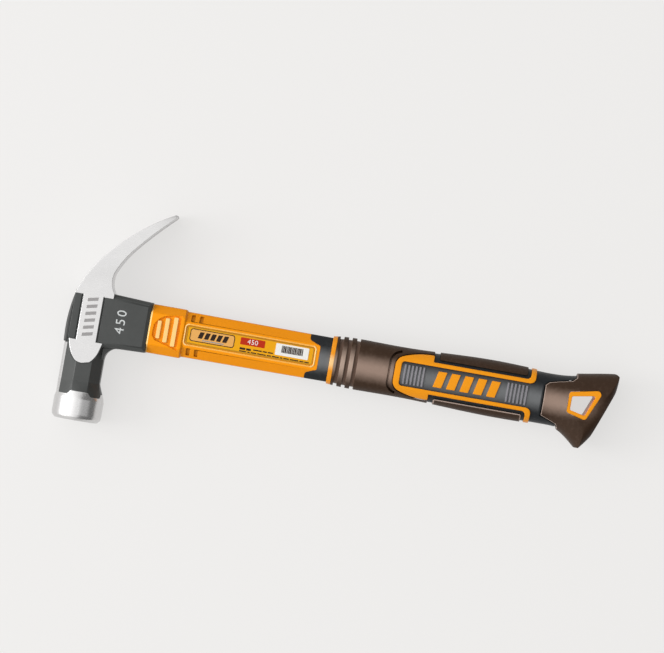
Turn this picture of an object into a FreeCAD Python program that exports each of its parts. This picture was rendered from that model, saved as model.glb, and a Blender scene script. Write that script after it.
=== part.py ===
import FreeCAD, Part

import math
import os

import Sketcher
from FreeCAD import Placement, Rotation, Vector

# A claw hammer lying on its side. X runs from the head to the butt, Y from the striking face to the
# claw tips and Z is the thickness. Shapes are drawn about the handle's centre line with the middle of
# the head's cheek at X = 0, and every piece is then moved so that the hammer lies on Z = 0.

SIZES = {
    # overall
    "rest_width": 30.0,  # thickness over the claws, poll and butt flats
    "grip_length": 170.0,  # from the accent ring to the butt's far end
    # head
    "cheek_width": 25.0,  # over the two polished cheek stripes
    "paint_depth": 0.6,  # painted cheeks lie this far under the stripe
    "paint_line": 0.8,  # width of the sunk line beside the stripe
    "head_back": 10.5,  # from the stripe's centre to the steel top of the eye
    "cheek_step_top": 2.1,  # painted cheek's claw-side end, short of the socket's root
    "cheek_step_bottom": 1.8,  # the same at the poll-side end
    "stripe_back": 5.4,
    "stripe_front": 6.7,
    "socket_end": 36.2,  # mouth of the socket
    "socket_height": 31.4,  # over the socket at its root
    "socket_taper": 1.1,  # how much less that is at the mouth
    "socket_round": 3.2,
    "mouth_slope": 1.6,
    "claw_reach": 69.4,  # claw tips above the handle's centre line
    "claw_hook": 41.3,  # claw tips forward of the cheek
    "claw_tip": 1.6,  # thickness of the claw edge
    "slot_root": 1.8,  # nail slot width at its crotch
    "slot_mouth": 11.0,  # nail slot width at the claw tips
    "slot_depth": 43.0,  # from the claw tips to the crotch, along the claws
    "poll_reach": 62.0,  # striking face below the handle's centre line
    "poll_centre": 2.0,
    "poll_band": 15.0,  # length of the round poll
    "face_bevel": 2.0,
    "neck_width": 23.8,
    "resin_at_mouth": 2.2,  # epoxy between the core and the eye at its mouth and its top
    "resin_at_waist": 0.9,  # the same at the eye's waist
    "cap_thick": 2.4,
    "cap_plug": 1.6,
    # core
    "core_height": 18.6,
    "core_width": 12.0,
    "core_round": 4.0,
    "spigot": 4.0,  # how far the sleeve enters the socket
    # sleeve
    "sleeve_length": 96.4,  # visible edge length
    "collar_length": 20.6,
    "collar_step": 1.0,  # how much lower than the socket the collar is on each side
    "collar_width": 23.2,
    "sleeve_height": 27.4,
    "sleeve_end_height": 26.6,
    "sleeve_width": 21.6,
    "tongue": 6.8,
    "rib_relief": 1.6,
    "notch_depth": 1.2,
    "notch_width": 2.2,
    "notch_step": 5.0,  # from one notch to the next
    "notch_start": 3.7,  # from the collar to the first notch
    "notch_inner": 8.2,  # from the centre line to a notch's inner end
    "notch_edge": 0.4,  # wall between a notch's outer end and the side of its floor
    "label_recess": 0.6,
    "label_thick": 0.3,
    "sticker_thick": 0.15,
    # band and ring
    "band_length": 13.4,
    "ring_length": 2.7,
    # grip
    "ring_height": 28.4,
    "ring_width": 24.4,
    "swell_height": 32.8,
    "swell_width": 27.2,
    "waist_height": 32.9,
    "waist_width": 27.0,
    "grip_front": 36.5,  # soft front before the frame's yellow fan
    "fan_length": 22.4,
    "arm_width": 3.0,  # the frame's rear arms
    "neck_length": 6.3,  # black neck between those arms and the butt
    "butt_length": 42.9,
    "hole_reach": 28.4,  # from the front of the hang hole's liner to the butt's end
    "core_gap": 4.0,  # from the core's end to the liner
    "grip_groove": 1.5,
    "groove_start": 1.6,  # from the accent ring to the first ring groove
    "groove_step": 5.0,
    "groove_width": 2.2,
    "skin": 2.2,  # depth of the soft pads and of the frame
    "panel_drop": 0.9,  # black panel below the frame
    "butt_gap": 0.4,  # open line between the neck and the butt
    "neck_gap": 1.1,  # from the neck's end inside the butt to the liner
    "fan_gap": 0.5,  # open line between the soft front and the frame's fan
    "end_round": 7.5,  # how far the butt's end is rounded over, along its side
    "emblem_rise": 0.6,
    "emblem_inset": 1.6,  # from the fan's step to the first bar
    "emblem_space": 2.9,  # between two bars
    "emblem_gap": 4.1,  # from the last bar to the rear treads
    "tread_rise": 0.6,
    "tread_width": 1.2,
    "tread_step": 2.25,
    "front_treads": 5.6,  # from the fan's front to the first front tread
    "rear_treads": 13.4,  # from the first rear tread to the frame's rear arms
    "hole_wall": 2.0,
}

doc = FreeCAD.newDocument("claw_hammer")


class Size:
    """A length with its value and the sheet expression that gives it."""

    def __init__(self, value, text):
        self.value = float(value)
        self.text = text

    def __float__(self):
        return self.value

    def __add__(self, other):
        other = as_size(other)
        return Size(self.value + other.value, f"({self.text} + {other.text})")

    def __sub__(self, other):
        other = as_size(other)
        return Size(self.value - other.value, f"({self.text} - {other.text})")

    def __mul__(self, other):
        other = as_size(other)
        return Size(self.value * other.value, f"({self.text} * {other.text})")

    def __neg__(self):
        return Size(-self.value, f"(-{self.text})")

    def __radd__(self, other):
        return as_size(other) + self

    def __rsub__(self, other):
        return as_size(other) - self

    def __rmul__(self, other):
        return as_size(other) * self


def as_size(number):
    return number if isinstance(number, Size) else Size(number, f"({float(number)})")


def make_sheet():
    sheet = doc.addObject("Spreadsheet::Sheet", "Sizes")
    for row, (name, value) in enumerate(SIZES.items(), start=1):
        sheet.set(f"A{row}", name)
        sheet.set(f"B{row}", str(value))
        sheet.setAlias(f"B{row}", name)
    doc.recompute()
    return sheet


sheet = make_sheet()


def size(name):
    return Size(sheet.get(name), f"Sizes.{name}")


# ---------------------------------------------------------------- stations along the handle

SOCKET_END = size("socket_end")
COLLAR_END = SOCKET_END + size("collar_length")
BAND_START = SOCKET_END + size("sleeve_length")
TONGUE_END = BAND_START + size("tongue")
RING_START = BAND_START + size("band_length")
GRIP_START = RING_START + size("ring_length")
BUTT_END = GRIP_START + size("grip_length")
FAN_START = GRIP_START + size("grip_front")
FAN_STEP = FAN_START + size("fan_length")
BUTT_START = BUTT_END - size("butt_length")
ARM_END = BUTT_START - size("neck_length")
ARM_START = ARM_END - size("arm_width")
HOLE_START = BUTT_END - size("hole_reach")
CORE_END = HOLE_START - size("core_gap")
REAR_TREADS = ARM_START - size("rear_treads")
HALF_REST = size("rest_width") * 0.5
EYE_TOP = size("socket_height") * 0.5 - size("cheek_step_top")
EYE_BOTTOM = size("socket_height") * 0.5 - size("cheek_step_bottom")
COLLAR_HEIGHT = size("socket_height") - size("collar_step") * 2
CLAW_TOP = size("claw_reach")
FACE = -size("poll_reach")

LOWEST_X = size("poll_centre") - HALF_REST
ROW_PLACE = Placement(
    Vector(
        -(float(BUTT_END) + float(LOWEST_X)) / 2,
        -(float(CLAW_TOP) + float(FACE)) / 2,
        float(HALF_REST),
    ),
    Rotation(),
)

# ---------------------------------------------------------------- helpers

ORIGIN_POINT = (-1, 1)


def bent_edge(start, end, radius):
    """Arc from start to end with its centre to the left, or to the right if radius is negative."""
    chord = end - start
    rise = math.sqrt(radius**2 - (chord.Length / 2) ** 2)
    side = Vector(-chord.y, chord.x, 0).normalize() * math.copysign(rise, radius)
    centre = (start + end) * 0.5 + side
    ends = (start, end) if radius > 0 else (end, start)
    low, high = (math.atan2(p.y - centre.y, p.x - centre.x) for p in ends)
    if high < low:
        high += 2 * math.pi
    return Part.ArcOfCircle(Part.Circle(centre, Vector(0, 0, 1), abs(radius)), low, high)


def draw(sketch, corners):
    """A closed loop through corners (x, y), where (x, y, radius) bends the edge that leaves the corner."""
    corners = [tuple(as_size(number) for number in corner) for corner in corners]
    points = [Vector(float(c[0]), float(c[1]), 0) for c in corners]
    first = sketch.GeometryCount
    starts = []
    ends = []
    for index, corner in enumerate(corners):
        start = points[index]
        end = points[(index + 1) % len(points)]
        bent = len(corner) == 3
        backwards = bent and float(corner[2]) < 0
        edge = bent_edge(start, end, float(corner[2])) if bent else Part.LineSegment(start, end)
        sketch.addGeometry(edge)
        starts.append((first + index, 2 if backwards else 1))
        ends.append((first + index, 1 if backwards else 2))
    rules = []
    bindings = []
    for index, corner in enumerate(corners):
        rules.append(Sketcher.Constraint("Coincident", *ends[index - 1], *starts[index]))
        for kind, number in zip(("DistanceX", "DistanceY"), corner):
            bindings.append((len(rules), number.text))
            rules.append(Sketcher.Constraint(kind, *ORIGIN_POINT, *starts[index], float(number)))
        if len(corner) == 3:
            reach = corner[2] if float(corner[2]) > 0 else -corner[2]
            bindings.append((len(rules), reach.text))
            rules.append(Sketcher.Constraint("Radius", starts[index][0], float(reach)))
    base = sketch.ConstraintCount
    sketch.addConstraint(rules)
    for index, text in bindings:
        sketch.setExpression(f"Constraints[{base + index}]", text)


def rounded_box(x_low, x_high, y_low, y_high, radius):
    """Corners for draw of a rectangle with rounded corners."""
    return [
        (x_low + radius, y_low),
        (x_high - radius, y_low, radius),
        (x_high, y_low + radius),
        (x_high, y_high - radius, radius),
        (x_high - radius, y_high),
        (x_low + radius, y_high, radius),
        (x_low, y_high - radius),
        (x_low, y_low + radius, radius),
    ]


def body_sketch(body, role, name, *loops, offset=None, turn=None):
    """A sketch on one of the body's own origin planes, moved offset along the plane's normal."""
    sketch = body.newObject("Sketcher::SketchObject", name)
    plane = next(f for f in body.Origin.OriginFeatures if f.Role == role)
    sketch.AttachmentSupport = (plane, "")
    sketch.MapMode = "FlatFace"
    if turn is not None:
        sketch.AttachmentOffset = turn
    if offset is not None:
        sketch.AttachmentOffset = Placement(Vector(0, 0, float(offset)), Rotation())
        sketch.setExpression("AttachmentOffset.Base.z", as_size(offset).text)
    for loop in loops:
        draw(sketch, loop)
    return sketch


def new_body(label):
    body = doc.addObject("PartDesign::Body", label)
    body.Label = label
    return body


def add_pad(body, name, sketch, length, symmetric=False, reverse=False):
    pad = body.newObject("PartDesign::Pad", name)
    pad.Profile = sketch
    pad.AllowMultiFace = True
    pad.SideType = "Symmetric" if symmetric else "One side"
    pad.Reversed = reverse
    pad.setExpression("Length", as_size(length).text)
    sketch.Visibility = False
    return pad


def add_pocket(body, name, sketch, length=None, reverse=False):
    """Cuts length deep from the sketch, or right through both ways where no length is given."""
    pocket = body.newObject("PartDesign::Pocket", name)
    pocket.Profile = sketch
    pocket.AllowMultiFace = True
    if length is None:
        pocket.SideType = "Symmetric"
        pocket.Length = 400
    else:
        pocket.SideType = "One side"
        pocket.Reversed = reverse
        pocket.setExpression("Length", as_size(length).text)
    return pocket


def add_loft(body, kind, name, profile, section):
    loft = body.newObject(f"PartDesign::{kind}Loft", name)
    loft.Profile = profile
    loft.Sections = [section]
    loft.Ruled = True
    return loft


def edges_where(feature, test):
    """Names of the feature's edges whose middle passes the test."""
    names = []
    for number, edge in enumerate(feature.Shape.Edges, start=1):
        middle = edge.valueAt((edge.FirstParameter + edge.LastParameter) / 2)
        if test(middle):
            names.append(f"Edge{number}")
    return names


def dress(body, kind, name, base, test, reach):
    """Adds a Fillet or Chamfer on the edges of base that pass the test."""
    doc.recompute()
    feature = body.newObject(f"PartDesign::{kind}", name)
    feature.Base = (base, edges_where(base, test))
    feature.setExpression("Radius" if kind == "Fillet" else "Size", as_size(reach).text)
    return feature


def form(name, shape):
    """A shape made by code, kept as a helper object of the document."""
    feature = doc.addObject("Part::Feature", name)
    feature.Shape = shape
    feature.Placement = ROW_PLACE
    feature.Visibility = False
    return feature


def prism(name, *loops, low=None, high=None):
    """Outlines drawn in the XY plane and drawn out through the thickness, or from low to high."""
    sketch = doc.addObject("Sketcher::SketchObject", f"{name}_outline")
    for loop in loops:
        draw(sketch, loop)
    drawn = doc.addObject("Part::Extrusion", name)
    drawn.Base = sketch
    drawn.DirMode = "Custom"
    drawn.Dir = Vector(0, 0, 1)
    drawn.Solid = True
    low = -HALF_REST * 2 if low is None else as_size(low)
    high = HALF_REST * 2 if high is None else as_size(high)
    drawn.setExpression("LengthFwd", high.text)
    drawn.setExpression("LengthRev", (-low).text)
    drawn.Placement = ROW_PLACE
    drawn.Visibility = False
    return drawn


def cut(label, base, *tools):
    """Base less each tool, one Part::Cut after another."""
    for number, tool in enumerate(tools, start=1):
        last = number == len(tools)
        result = doc.addObject("Part::Cut", label if last else f"{label}_cut{number}")
        result.Base = base
        result.Tool = tool
        base = result
    return base


def joined(label, *shapes):
    result = doc.addObject("Part::MultiFuse", label)
    result.Shapes = list(shapes)
    return result


def common(label, first, second):
    result = doc.addObject("Part::Common", label)
    result.Base = first
    result.Tool = second
    return result


# ---------------------------------------------------------------- head


def nail_slot_turn():
    """Sketch place whose X runs up the claws and whose Y is the hammer's thickness."""
    slope = math.degrees(math.atan2(27.6, 24.6))
    tip = Vector(float(size("claw_hook")) - 2.0, float(CLAW_TOP) - 1.0, 0)
    return Placement(tip, Rotation(Vector(0, 0, 1), slope) * Rotation(Vector(1, 0, 0), 90))


def neck_outline():
    """Eight main facets of the neck in the XZ plane, with narrow polished ones beside the back."""
    half = size("neck_width") * 0.5
    centre = size("poll_centre") - 0.9
    right = centre + half - 0.3
    back = centre - half - 1.5
    side = half * 0.42
    return [
        (back, -side * 0.55),
        (back + 1.8, -side),
        (centre - side + 0.9, -half),
        (centre + side + 0.5, -half),
        (right, -half * 0.48),
        (right, half * 0.48),
        (centre + side + 0.5, half),
        (centre - side + 0.9, half),
        (back + 1.8, side),
        (back, side * 0.55),
    ]


def poll_root_outline(radius):
    """The poll's circle as arcs that answer to the neck's facets."""
    centre = size("poll_centre")
    angles = [187, 216, 251, 289, 333, 387, 431, 469, 504, 533]
    corners = []
    for angle in angles:
        turn = math.radians(angle)
        corners.append((centre + radius * math.cos(turn), radius * math.sin(turn), radius))
    return corners


def shield_outline(spread):
    """Polished lobe below the cheek, widened by spread."""
    bottom = -EYE_BOTTOM
    centre = size("poll_centre") - 1.4
    return [
        (centre - 10.2 - spread, bottom),
        (centre - 9.0 - spread, bottom - 4.6, 16.0),
        (centre - 4.4 - spread * 0.7, bottom - 12.5 - spread * 0.5, 8.0),
        (centre, bottom - 13.6 - spread),
        (centre + 4.4 + spread * 0.7, bottom - 12.5 - spread * 0.5, 16.0),
        (centre + 9.0 + spread, bottom - 4.6),
        (centre + 10.2 + spread, bottom),
    ]


def eye_outline(place, shrink=0.0):
    """Section of the tapered eye in the YZ plane."""
    room = size(f"resin_at_{place}") - shrink
    half_height = size("core_height") * 0.5 + room
    half_width = size("core_width") * 0.5 + room
    return rounded_box(-half_height, half_height, -half_width, half_width, 5.0)


def core_outline(clearance=0.0):
    half_height = size("core_height") * 0.5 + clearance
    half_width = size("core_width") * 0.5 + clearance
    return rounded_box(-half_height, half_height, -half_width, half_width, size("core_round"))


def make_head():
    body = new_body("hammer_head")
    half_cheek = size("cheek_width") * 0.5
    half_paint = half_cheek - size("paint_depth")
    back = -size("head_back")
    top = EYE_TOP
    bottom = -EYE_BOTTOM
    half_root = size("socket_height") * 0.5
    half_mouth = half_root - size("socket_taper") * 0.5
    neck_edge = size("poll_centre") + size("neck_width") * 0.5 - 1.2

    # painted block: the eye and its long socket
    block = body_sketch(
        body,
        "XY_Plane",
        "block_outline",
        [
            (back, bottom - 2.5),
            (neck_edge, bottom - 2.5),
            (neck_edge + 3.5, -half_root - 0.1),
            (SOCKET_END, -half_mouth),
            (SOCKET_END, half_mouth),
            (neck_edge, half_root + 0.6),
            (neck_edge, top + 2.0),
            (back, top + 2.0),
        ],
    )
    block_pad = add_pad(body, "painted_block", block, half_paint * 2, symmetric=True)
    rounded = dress(
        body,
        "Fillet",
        "socket_rounding",
        block_pad,
        lambda p: abs(abs(p.z) - float(half_paint)) < 0.01 and abs(p.y) > 10 and p.x > 14,
        size("socket_round"),
    )

    slopes = []
    for side in (1, -1):
        level = half_paint * side
        slopes.append(
            [
                (SOCKET_END - 2.2, level),
                (SOCKET_END + 1.0, level - size("mouth_slope") * side),
                (SOCKET_END + 1.0, level + 1.0 * side),
            ]
        )
    slope = body_sketch(body, "XZ_Plane", "mouth_slope_outline", *slopes)
    add_pocket(body, "mouth_slopes", slope)

    # claws, drawn at full rest width and then flared and slotted
    hook = size("claw_hook")
    claw = body_sketch(
        body,
        "XY_Plane",
        "claw_outline",
        [
            (neck_edge + 0.1, top - 0.3),
            (neck_edge + 0.1, half_root + 0.8, -13.8),
            (neck_edge - 0.8, half_root + 15.6, -62),
            (hook - 21.3, CLAW_TOP - 25.1, -260),
            (hook - 0.3, CLAW_TOP - 2.7),
            (hook + 0.7, CLAW_TOP - 2.9 + size("claw_tip")),
            (hook, CLAW_TOP, 120.6),
            (hook - 36.3, CLAW_TOP - 29.4, 73.5),
            (back, top),
            (back, top - 0.3),
        ],
    )
    add_pad(body, "claws", claw, HALF_REST * 2, symmetric=True)
    flares = []
    for side in (1, -1):
        near = half_cheek * side
        wide = HALF_REST * side
        out = (HALF_REST + 4) * side
        flares.append(
            [
                (top - 1.0, near),
                (top + 0.5, near, 79 * side),
                (top + 14.5, (half_cheek + HALF_REST) * 0.5 * side, -79 * side),
                (top + 28.5, wide),
                (top + 28.5, out),
                (top - 1.0, out),
            ]
        )
        flares.append(
            [
                (CLAW_TOP - 12.0, wide, -46 * side),
                (CLAW_TOP + 2.0, wide - 2.2 * side),
                (CLAW_TOP + 2.0, out),
                (CLAW_TOP - 12.0, out),
            ]
        )
    flare = body_sketch(body, "YZ_Plane", "claw_flare_outline", *flares)
    add_pocket(body, "claw_flare", flare)

    # polished stripe and the shield below it
    stripe = body_sketch(
        body,
        "XY_Plane",
        "stripe_outline",
        rounded_box(-size("stripe_back"), size("stripe_front"), bottom - 1.0, top + 0.5, 0.4),
    )
    add_pad(body, "cheek_stripe", stripe, half_cheek * 2, symmetric=True)

    # faceted neck, which turns round and flares out to the poll
    neck_end = FACE + size("poll_band") + 8.5
    neck_top = bottom - 2.5
    neck = body_sketch(body, "XZ_Plane", "neck_facets", neck_outline(), offset=-neck_top)
    add_pad(body, "neck", neck, neck_top - neck_end)
    shoulder = FACE + size("poll_band")
    poll_radius = HALF_REST
    facets = body_sketch(body, "XZ_Plane", "neck_end", neck_outline(), offset=-neck_end)
    ring = body_sketch(
        body, "XZ_Plane", "poll_root", poll_root_outline(poll_radius - 0.6), offset=-shoulder
    )
    add_loft(body, "Additive", "neck_flare", facets, ring)
    poll = body_sketch(
        body,
        "XY_Plane",
        "poll_profile",
        [
            (0.0, shoulder),
            (0.0, FACE),
            (poll_radius - size("face_bevel"), FACE),
            (poll_radius - 0.3, FACE + size("face_bevel") * 0.9),
            (poll_radius, FACE + size("face_bevel") * 2.0),
            (poll_radius, shoulder - 2.5),
            (poll_radius - 0.6, shoulder),
        ],
    )
    poll.setExpression("AttachmentOffset.Base.x", size("poll_centre").text)
    turned = body.newObject("PartDesign::Revolution", "poll")
    turned.Profile = poll
    turned.ReferenceAxis = (poll, ["V_Axis"])
    turned.Angle = 360

    # shield where the polished stripe runs out over the neck, with sloping sides
    for side, name in ((1, "front"), (-1, "back")):
        face = body_sketch(
            body, "XY_Plane", f"shield_{name}", shield_outline(0.0), offset=half_cheek * side
        )
        foot = body_sketch(
            body,
            "XY_Plane",
            f"shield_foot_{name}",
            shield_outline(1.1),
            offset=(half_cheek - 4.5) * side,
        )
        add_loft(body, "Additive", f"shield_slope_{name}", foot, face)

    # web that rounds the corner between the socket and the neck
    web = body_sketch(
        body,
        "XY_Plane",
        "web_outline",
        [
            (neck_edge - 1.5, bottom - 1.0),
            (neck_edge - 1.5, bottom - 9.5),
            (neck_edge, bottom - 9.5, -7.6),
            (neck_edge + 7.4, -half_root),
            (neck_edge + 7.4, bottom - 1.0),
        ],
    )
    add_pad(body, "web", web, half_paint * 1.3, symmetric=True)

    # sunk line round the stripe and the painted cheek
    line = size("paint_line")
    for side, name in ((1, "front"), (-1, "back")):
        lines = body_sketch(
            body,
            "XY_Plane",
            f"paint_line_{name}",
            rounded_box(-size("stripe_back") - line, -size("stripe_back"), bottom, top, 0.3),
            rounded_box(size("stripe_front"), size("stripe_front") + line, bottom, top, 0.3),
            offset=(half_paint - 0.4) * side,
        )
        add_pocket(body, f"paint_groove_{name}", lines, 4.0, reverse=side > 0)

    # eye, waisted between its mouth and its top
    waist = body_sketch(body, "YZ_Plane", "eye_waist", eye_outline("waist"), offset=6.0)
    mouth = body_sketch(body, "YZ_Plane", "eye_mouth", eye_outline("mouth"), offset=SOCKET_END)
    add_loft(body, "Subtractive", "eye_lower", mouth, waist)
    upper = body_sketch(body, "YZ_Plane", "eye_top", eye_outline("mouth"), offset=back)
    middle = body_sketch(body, "YZ_Plane", "eye_middle", eye_outline("waist"), offset=6.0)
    add_loft(body, "Subtractive", "eye_upper", upper, middle)

    # nail slot, a wedge up the claws
    slot = body_sketch(
        body,
        "XY_Plane",
        "slot_outline",
        [
            (-size("slot_depth"), -size("slot_root") * 0.5),
            (4.0, -size("slot_mouth") * 0.5),
            (4.0, size("slot_mouth") * 0.5),
            (-size("slot_depth"), size("slot_root") * 0.5, size("slot_root") * 0.5001),
        ],
        turn=nail_slot_turn(),
    )
    last = add_pocket(body, "nail_slot", slot)
    body.Tip = last
    return body


def make_eye_resin():
    body = new_body("eye_resin")
    top = -size("head_back") + size("cap_plug")
    foot = SOCKET_END - size("spigot")
    lower = body_sketch(body, "YZ_Plane", "mouth", eye_outline("mouth"), offset=SOCKET_END)
    waist = body_sketch(body, "YZ_Plane", "waist", eye_outline("waist"), offset=6.0)
    add_loft(body, "Additive", "lower_fill", lower, waist)
    upper = body_sketch(body, "YZ_Plane", "top", eye_outline("mouth"), offset=-size("head_back"))
    middle = body_sketch(body, "YZ_Plane", "middle", eye_outline("waist"), offset=6.0)
    add_loft(body, "Additive", "upper_fill", upper, middle)
    wide = size("rest_width")
    ends = body_sketch(
        body,
        "XY_Plane",
        "trimmed_ends",
        [(-40.0, -wide), (top, -wide), (top, wide), (-40.0, wide)],
        [(foot, -wide), (foot + 40.0, -wide), (foot + 40.0, wide), (foot, wide)],
    )
    add_pocket(body, "trim", ends)
    core = body_sketch(body, "YZ_Plane", "core_section", core_outline())
    add_pocket(body, "core_hole", core)
    return body


def make_eye_cap():
    """Cover on the steel top of the eye, bowed outwards, with a plug in the eye."""
    body = new_body("eye_cap")
    back = -size("head_back")
    crown = back - size("cap_thick")
    low = -EYE_BOTTOM - 2.5
    outline = body_sketch(
        body,
        "XY_Plane",
        "cap_side",
        [
            (back, low),
            (back, EYE_TOP - 0.1, 90),
            (crown + 0.5, 2.0, 90),
            (crown, -9.0),
            (crown + 0.3, low + 0.4),
        ],
    )
    half = size("cheek_width") * 0.5 - size("paint_depth") - 0.2
    cover = add_pad(body, "cover", outline, half * 2, symmetric=True)
    dress(
        body,
        "Chamfer",
        "soft_edge",
        cover,
        lambda p: abs(abs(p.z) - float(half)) < 0.01 and p.x < float(back) - 0.6 and p.y < 12,
        0.9,
    )
    plug_low = eye_outline("mouth", shrink=0.25)
    plug = body_sketch(body, "YZ_Plane", "plug_section", plug_low, offset=back - 0.2)
    body.Tip = add_pad(body, "plug", plug, size("cap_plug") + 0.2)
    return body


def make_core():
    body = new_body("fibreglass_core")
    start = -size("head_back") + size("cap_plug")
    section = body_sketch(body, "YZ_Plane", "core_section", core_outline(), offset=start)
    add_pad(body, "rod", section, CORE_END - start)
    return body


# ---------------------------------------------------------------- forms across the handle


def rounded_wire(points, radius):
    """A closed wire of straight edges whose corners are rounded."""
    edges = []
    previous = None
    first = None
    for index, corner in enumerate(points):
        back = (points[index - 1] - corner).normalize()
        ahead = (points[(index + 1) % len(points)] - corner).normalize()
        half_turn = back.getAngle(ahead) / 2
        run = radius / math.tan(half_turn)
        start = corner + back * run
        end = corner + ahead * run
        inward = (back + ahead).normalize()
        middle = corner + inward * (radius / math.sin(half_turn) - radius)
        if previous is not None:
            edges.append(Part.LineSegment(previous, start).toShape())
        edges.append(Part.Arc(start, middle, end).toShape())
        first = start if first is None else first
        previous = end
    edges.append(Part.LineSegment(previous, first).toShape())
    return Part.Wire(edges)


def facet_wire(x, height, width, flat, side, inset=0.0):
    """Octagonal section at x: flat is the label face's height, side that of the narrow edges."""
    half_height = height / 2 - inset
    half_width = width / 2 - inset
    half_flat = flat / 2 - inset * 0.4
    half_side = side / 2 - inset * 0.4
    corners = [
        (-half_flat, -half_width),
        (half_flat, -half_width),
        (half_height, -half_side),
        (half_height, half_side),
        (half_flat, half_width),
        (-half_flat, half_width),
        (-half_height, half_side),
        (-half_height, -half_side),
    ]
    return rounded_wire([Vector(x, y, z) for y, z in corners], 1.8)


def oval_wire(x, top, bottom, width, power):
    """Superellipse across the handle at x, between the heights top and bottom, in four edges."""
    steps = 32
    middle = (top + bottom) / 2
    half_height = (top - bottom) / 2
    points = []
    for step in range(steps):
        turn = 2 * math.pi * step / steps
        y = math.copysign(abs(math.cos(turn)) ** (2 / power), math.cos(turn))
        z = math.copysign(abs(math.sin(turn)) ** (2 / power), math.sin(turn))
        points.append(Vector(x, middle + half_height * y, width / 2 * z))
    curve = Part.BSplineCurve()
    curve.interpolate(Points=points, PeriodicFlag=True)
    ends = [curve.parameter(points[step]) for step in range(steps // 8, steps, steps // 4)]
    ends.append(ends[0] + curve.LastParameter - curve.FirstParameter)
    return Part.Wire([curve.toShape(start, end) for start, end in zip(ends, ends[1:])])


def collar_form():
    collar = [float(COLLAR_HEIGHT), float(size("collar_width")), 19.0, 13.0]
    slope = [float(size("sleeve_height")), float(size("sleeve_width")), 15.0, 11.0, 0.5]
    straight = Part.makeLoft(
        [facet_wire(float(SOCKET_END), *collar), facet_wire(float(COLLAR_END), *collar)], True, True
    )
    step = Part.makeLoft(
        [facet_wire(float(COLLAR_END), *collar), facet_wire(float(COLLAR_END) + 1.4, *slope)],
        True,
        True,
    )
    return straight.fuse(step)


def shank_form(inset=0.0):
    """The faceted shank from the collar to the accent ring, tapering in height."""
    wide = float(size("sleeve_width"))
    start = facet_wire(float(COLLAR_END), float(size("sleeve_height")), wide, 15.0, 11.0, inset)
    end = facet_wire(float(RING_START), float(size("sleeve_end_height")), wide, 15.0, 11.0, inset)
    return Part.makeLoft([start, end], True, True)


def grip_form(inset=0.0):
    """The grip's outer surface from the accent ring to behind the rear neck, inset all round."""
    ring = float(size("ring_height"))
    swell = float(size("swell_height"))
    waist = float(size("waist_height"))
    ring_width = float(size("ring_width"))
    swell_width = float(size("swell_width"))
    waist_width = float(size("waist_width"))
    stations = [
        (float(RING_START) - 1.0, ring, 0.0, ring_width),
        (float(GRIP_START) + 31.5, ring * 0.58 + swell * 0.42, 0.1, ring_width * 0.5 + swell_width * 0.5),
        (float(GRIP_START) + 76.5, swell, 0.1, swell_width),
        (float(BUTT_END) - 50.7, waist, -0.3, waist_width),
        (float(BUTT_END) - 34.0, waist, -0.4, waist_width + 0.4),
        (float(BUTT_END) - 22.7, waist + 2.8, -0.15, waist_width + 1.0),
    ]
    wires = []
    for x, height, lift, width in stations:
        top = height / 2 + lift - inset
        bottom = -height / 2 + lift + inset
        wires.append(oval_wire(x, top, bottom, width - 2 * inset, 2.35))
    return Part.makeLoft(wires, True)


def butt_form():
    """The flared end, long past its cut so that the end outline can trim it."""
    end = float(BUTT_END)
    waist = float(size("waist_height"))
    wide = float(size("rest_width"))
    stations = [
        (end - 44.5, waist / 2 - 0.2, -waist / 2 - 0.4, wide - 2.2, 2.4),
        (end - 33.0, waist / 2 + 0.1, -waist / 2 - 0.6, wide - 1.2, 2.4),
        (end - 27.0, waist / 2 + 0.9, -waist / 2 - 4.0, wide - 0.1, 2.5),
        (end - 19.0, waist / 2 + 2.2, -waist / 2 - 10.6, wide + 0.7, 2.6),
        (end - 9.0, waist / 2 + 3.9, -waist / 2 - 19.2, wide + 0.9, 2.7),
        (end + 4.0, waist / 2 + 5.0, -waist / 2 - 29.5, wide + 0.9, 2.7),
    ]
    return Part.makeLoft([oval_wire(*station) for station in stations], True)


def end_crown():
    """Round slab whose rim gives the butt its bowed and rounded end."""
    reach = 72.2
    centre = Vector(float(BUTT_END) - 72.15, 20.8, 0)
    half = float(HALF_REST) + 0.05
    bend = float(size("end_round"))
    flat = reach - bend
    slant = bend * math.sqrt(0.5)
    profile = [
        (0, -half),
        (flat, -half),
        (flat + slant, bend - slant - half),
        (reach, bend - half),
        (reach, half - bend),
        (flat + slant, half - bend + slant),
        (flat, half),
        (0, half),
    ]
    start, low, low_bend, low_side, side, bend_point, high, end = [
        centre + Vector(across, 0, up) for across, up in profile
    ]
    edges = [
        Part.LineSegment(start, low),
        Part.Arc(low, low_bend, low_side),
        Part.LineSegment(low_side, side),
        Part.Arc(side, bend_point, high),
        Part.LineSegment(high, end),
        Part.LineSegment(end, start),
    ]
    section = Part.Face(Part.Wire([edge.toShape() for edge in edges]))
    return section.revolve(centre, Vector(0, 0, 1), 360)


def slice_outline(start, end):
    """Outline in the XY plane of everything between two stations."""
    far = size("rest_width") * 2
    return [(start, -far), (end, -far), (end, far), (start, far)]


# ---------------------------------------------------------------- sleeve, labels, band, ring


def plain_pad(name, outline, start, end):
    """A section drawn out along the handle between two stations."""
    body = doc.addObject("PartDesign::Body", name)
    section = body_sketch(body, "YZ_Plane", f"{name}_section", outline, offset=start)
    add_pad(body, f"{name}_pad", section, end - start)
    body.Placement = ROW_PLACE
    return body


def core_hole(name, start, end):
    """The core's own space, to be cut from whatever is moulded round it."""
    return plain_pad(name, core_outline(), start, end)


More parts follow.
